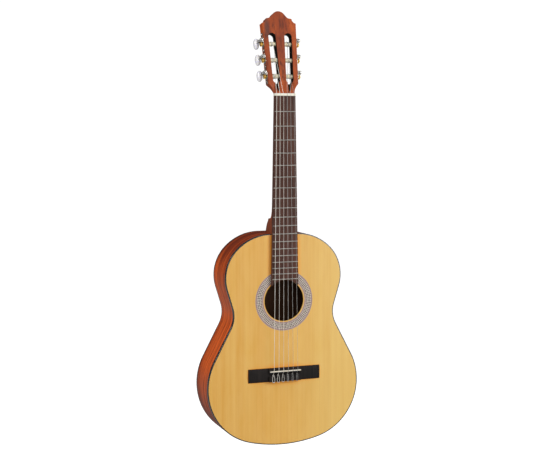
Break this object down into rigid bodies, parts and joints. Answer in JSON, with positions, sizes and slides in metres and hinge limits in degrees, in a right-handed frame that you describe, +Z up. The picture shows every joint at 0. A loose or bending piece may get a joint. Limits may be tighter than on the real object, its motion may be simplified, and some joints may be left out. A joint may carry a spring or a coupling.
{
  "type": "classical guitar",
  "caption": "Full-size nylon-string classical guitar with a spruce top, mosaic rosette, slotted head and open-geared tuning machines that turn.",
  "frame": {"origin": "on the centre line at the front edge of the nut, on the glue plane between neck and fingerboard, where a wall hanger's yoke takes the neck", "axes": "+Z up the neck towards the head, -Y out of the front where the strings are, +X towards the treble side"},
  "size_m": [0.383, 0.1087, 1.0356],
  "materials": {
    "spruce_top": "satin lacquer over fine straight grain, bookmatched",
    "pale_wood": "bare planed wood",
    "mahogany_back": "gloss lacquer, streaked reddish brown",
    "mahogany_neck": "satin lacquer, reddish brown",
    "rosewood": "oiled, dark brown with fine pores",
    "black_binding": "polished black",
    "black_wood": "black stained, satin",
    "bone": "off-white, lightly polished",
    "rosette_mosaic": "fine grey and mauve mosaic under lacquer",
    "fret_nickel": "polished nickel silver",
    "nickel_plate": "nickel plated, lightly brushed",
    "steel": "plated steel",
    "brass": "turned brass",
    "cream_nylon": "cream nylon",
    "pearl": "pearl-like, glossy",
    "clear_nylon": "clear nylon",
    "wound_string": "silver-plated winding"
  },
  "bodies": {
    "guitar": {"soundboard": "spruce_top", "back_plate": "mahogany_back", "rib_bass": "mahogany_back", "rib_treble": "mahogany_back", "top_binding": "black_binding", "back_binding": "black_binding", "linings": "pale_wood", "neck_block": "pale_wood", "tail_block": "pale_wood", "rosette": "rosette_mosaic", "soundhole_patch": "pale_wood", "top_braces": "pale_wood", "back_braces": "pale_wood", "bridge": "black_wood", "saddle": "bone", "headstock": "mahogany_neck", "neck": "mahogany_neck", "heel_cap": "black_wood", "fingerboard": "rosewood", "frets": "fret_nickel", "nut": "bone", "machine_plate_bass": "nickel_plate", "machine_plate_treble": "nickel_plate", "plate_screws": "nickel_plate", "string_1": "clear_nylon", "string_2": "clear_nylon", "string_3": "clear_nylon", "string_4": "wound_string", "string_5": "wound_string", "string_6": "wound_string"},
    "tuner_1_knob": {"worm_1": "steel", "button_1": "pearl"},
    "tuner_1_roller": {"gear_1": "brass", "roller_1": "cream_nylon", "winding_1": "clear_nylon"},
    "tuner_2_knob": {"worm_2": "steel", "button_2": "pearl"},
    "tuner_2_roller": {"gear_2": "brass", "roller_2": "cream_nylon", "winding_2": "clear_nylon"},
    "tuner_3_knob": {"worm_3": "steel", "button_3": "pearl"},
    "tuner_3_roller": {"gear_3": "brass", "roller_3": "cream_nylon", "winding_3": "clear_nylon"},
    "tuner_4_knob": {"worm_4": "steel", "button_4": "pearl"},
    "tuner_4_roller": {"gear_4": "brass", "roller_4": "cream_nylon", "winding_4": "wound_string"},
    "tuner_5_knob": {"worm_5": "steel", "button_5": "pearl"},
    "tuner_5_roller": {"gear_5": "brass", "roller_5": "cream_nylon", "winding_5": "wound_string"},
    "tuner_6_knob": {"worm_6": "steel", "button_6": "pearl"},
    "tuner_6_roller": {"gear_6": "brass", "roller_6": "cream_nylon", "winding_6": "wound_string"}
  },
  "joints": [
    {"name": "knob_1", "type": "hinge", "parent": "guitar", "child": "tuner_1_knob", "pos_m": [0.0439, 0.01753, 0.05361], "axis": [0, 0.9781, -0.2079], "continuous": true},
    {"name": "roller_1_turn", "type": "hinge", "parent": "guitar", "child": "tuner_1_roller", "pos_m": [0.0436, 0.0157, 0.045], "axis": [0.9994, -0.0071, -0.0333], "continuous": true},
    {"name": "knob_2", "type": "hinge", "parent": "guitar", "child": "tuner_2_knob", "pos_m": [0.04522, 0.02564, 0.09173], "axis": [0, 0.9781, -0.2079], "continuous": true},
    {"name": "roller_2_turn", "type": "hinge", "parent": "guitar", "child": "tuner_2_roller", "pos_m": [0.04492, 0.02381, 0.08313], "axis": [0.9994, -0.0071, -0.0333], "continuous": true},
    {"name": "knob_3", "type": "hinge", "parent": "guitar", "child": "tuner_3_knob", "pos_m": [0.04655, 0.03374, 0.12986], "axis": [0, 0.9781, -0.2079], "continuous": true},
    {"name": "roller_3_turn", "type": "hinge", "parent": "guitar", "child": "tuner_3_roller", "pos_m": [0.04625, 0.03191, 0.12125], "axis": [0.9994, -0.0071, -0.0333], "continuous": true},
    {"name": "knob_4", "type": "hinge", "parent": "guitar", "child": "tuner_4_knob", "pos_m": [-0.04655, 0.03374, 0.12986], "axis": [0, 0.9781, -0.2079], "continuous": true},
    {"name": "roller_4_turn", "type": "hinge", "parent": "guitar", "child": "tuner_4_roller", "pos_m": [-0.04625, 0.03191, 0.12125], "axis": [0.9994, 0.0071, 0.0333], "continuous": true},
    {"name": "knob_5", "type": "hinge", "parent": "guitar", "child": "tuner_5_knob", "pos_m": [-0.04522, 0.02564, 0.09173], "axis": [0, 0.9781, -0.2079], "continuous": true},
    {"name": "roller_5_turn", "type": "hinge", "parent": "guitar", "child": "tuner_5_roller", "pos_m": [-0.04492, 0.02381, 0.08313], "axis": [0.9994, 0.0071, 0.0333], "continuous": true},
    {"name": "knob_6", "type": "hinge", "parent": "guitar", "child": "tuner_6_knob", "pos_m": [-0.0439, 0.01753, 0.05361], "axis": [0, 0.9781, -0.2079], "continuous": true},
    {"name": "roller_6_turn", "type": "hinge", "parent": "guitar", "child": "tuner_6_roller", "pos_m": [-0.0436, 0.0157, 0.045], "axis": [0.9994, 0.0071, 0.0333], "continuous": true}
  ],
  "couplings": [
    {"joint": "roller_1_turn", "follows": "knob_1", "ratio": -0.071429},
    {"joint": "roller_2_turn", "follows": "knob_2", "ratio": -0.071429},
    {"joint": "roller_3_turn", "follows": "knob_3", "ratio": -0.071429},
    {"joint": "roller_4_turn", "follows": "knob_4", "ratio": -0.071429},
    {"joint": "roller_5_turn", "follows": "knob_5", "ratio": -0.071429},
    {"joint": "roller_6_turn", "follows": "knob_6", "ratio": -0.071429}
  ]
}
